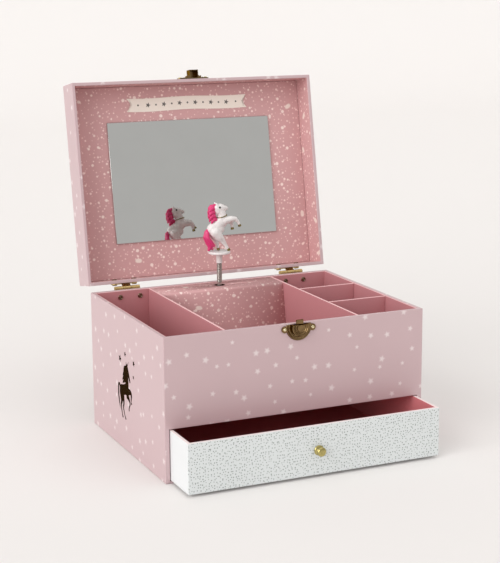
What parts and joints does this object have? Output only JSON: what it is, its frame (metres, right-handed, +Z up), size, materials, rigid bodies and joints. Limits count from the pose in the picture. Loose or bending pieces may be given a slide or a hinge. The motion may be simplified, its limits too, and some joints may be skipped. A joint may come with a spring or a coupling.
{
  "type": "wind-up musical jewellery box",
  "caption": "Paper-covered musical jewellery box with mirrored hinged lid, divided tray, drawer, wind-up movement and a figure that turns on a spring neck.",
  "frame": {"origin": "centre of the box body's underside, on the surface it stands on; the drawer reaches forward of the body and the open lid behind it", "axes": "+X to the right seen from the front, +Y from the drawer front towards the hinges, +Z up"},
  "size_m": [0.24, 0.297, 0.3181],
  "materials": {
    "star_paper": "matt printed paper over board, pale pink with soft white stars",
    "lining_paper": "matt printed paper, dusty pink with white dots",
    "rose_paper": "matt plain paper, dusty rose",
    "white_paper": "matt printed paper, white with fine grey dots",
    "banner_card": "matt cream card",
    "mirror_glass": "silvered flat glass",
    "gilt_steel": "gilt lacquered pressed steel",
    "aged_brass": "antiqued brass",
    "brass": "polished brass",
    "steel": "bright steel wire and strip",
    "zinc": "die-cast zinc alloy",
    "white_plastic": "white moulded plastic, painted"
  },
  "bodies": {
    "body": {"left_side_panel": "star_paper", "right_side_panel": "star_paper", "back_panel": "star_paper", "front_panel": "star_paper", "movement_cover_top": "lining_paper", "movement_cover_front": "lining_paper", "base_panel": "rose_paper", "drawer_deck": "rose_paper", "left_divider": "rose_paper", "right_divider": "rose_paper", "rear_cross_divider": "rose_paper", "front_cross_divider": "rose_paper", "left_hinge_body_leaf": "gilt_steel", "left_hinge_pin": "gilt_steel", "right_hinge_body_leaf": "gilt_steel", "right_hinge_pin": "gilt_steel", "body_rivet_1": "gilt_steel", "body_rivet_2": "gilt_steel", "body_rivet_3": "gilt_steel", "body_rivet_4": "gilt_steel", "catch_plate": "aged_brass", "catch_nail_left": "brass", "catch_nail_right": "brass", "catch_pin": "steel", "comb": "steel", "mainspring": "steel", "bedplate": "zinc", "spring_housing": "zinc"},
    "lid": {"lid_rim": "star_paper", "lid_top_panel": "star_paper", "lid_lining": "lining_paper", "banner_label": "banner_card", "mirror": "mirror_glass", "left_hinge_lid_leaf": "gilt_steel", "right_hinge_lid_leaf": "gilt_steel", "lid_rivet_1": "gilt_steel", "lid_rivet_2": "gilt_steel", "lid_rivet_3": "gilt_steel", "lid_rivet_4": "gilt_steel", "strike_plate": "aged_brass", "strike_nail_left": "brass", "strike_nail_right": "brass"},
    "drawer": {"drawer_front": "white_paper", "drawer_left_side": "white_paper", "drawer_right_side": "white_paper", "drawer_back": "white_paper", "drawer_bottom": "rose_paper", "drawer_knob": "brass", "knob_screw": "steel"},
    "tongue": {"catch_tongue": "aged_brass"},
    "winding_train": {"winding_key": "brass", "winding_arbor": "steel", "crown_wheel": "brass"},
    "music_cylinder": {"cylinder": "brass", "spindle": "steel"},
    "governor": {"governor_wheel": "brass"},
    "fan": {"governor_fan": "brass"},
    "neck": {"flex_spring": "steel"},
    "figure": {"figure_stand": "white_plastic", "horse_figure": "white_plastic"}
  },
  "joints": [
    {"name": "lid_hinge", "type": "hinge", "parent": "body", "child": "lid", "pos_m": [0, 0.097, 0.12355], "axis": [1, 0, 0], "range_deg": [0, 100.3]},
    {"name": "drawer_slide", "type": "slide", "parent": "body", "child": "drawer", "axis": [0, -1, 0], "range_m": [-0.0386, 0.1]},
    {"name": "catch_press", "type": "hinge", "parent": "body", "child": "tongue", "pos_m": [0, -0.095, 0.117], "axis": [1, 0, 0], "range_deg": [-5, 0], "stiffness_Nm_per_rad": 0.02, "springref_deg": 1.72},
    {"name": "cylinder_turn", "type": "hinge", "parent": "body", "child": "music_cylinder", "pos_m": [0, 0.076, 0.098], "axis": [0, 0, 1], "continuous": true},
    {"name": "key_turn", "type": "hinge", "parent": "body", "child": "winding_train", "pos_m": [0, 0.09, 0.06995], "axis": [0, 1, 0], "continuous": true},
    {"name": "governor_turn", "type": "hinge", "parent": "body", "child": "governor", "pos_m": [0.0102, 0.076, 0.108], "axis": [0, 0, 1], "continuous": true},
    {"name": "fan_turn", "type": "hinge", "parent": "body", "child": "fan", "pos_m": [0.018, 0.076, 0.1119], "axis": [0, 1, 0], "continuous": true},
    {"name": "neck_fold", "type": "hinge", "parent": "body", "child": "neck", "pos_m": [0, 0.076, 0.1294], "axis": [1, 0, 0], "range_deg": [0, 100.3]},
    {"name": "figure_turn", "type": "hinge", "parent": "neck", "child": "figure", "pos_m": [0, 0.076, 0.152], "axis": [0, 0, 1], "continuous": true}
  ],
  "couplings": [
    {"joint": "neck_fold", "follows": "lid_hinge", "ratio": 1},
    {"joint": "key_turn", "follows": "cylinder_turn", "ratio": -0.33333},
    {"joint": "governor_turn", "follows": "cylinder_turn", "ratio": -2.4},
    {"joint": "fan_turn", "follows": "cylinder_turn", "ratio": 24},
    {"joint": "figure_turn", "follows": "cylinder_turn", "ratio": 1}
  ]
}
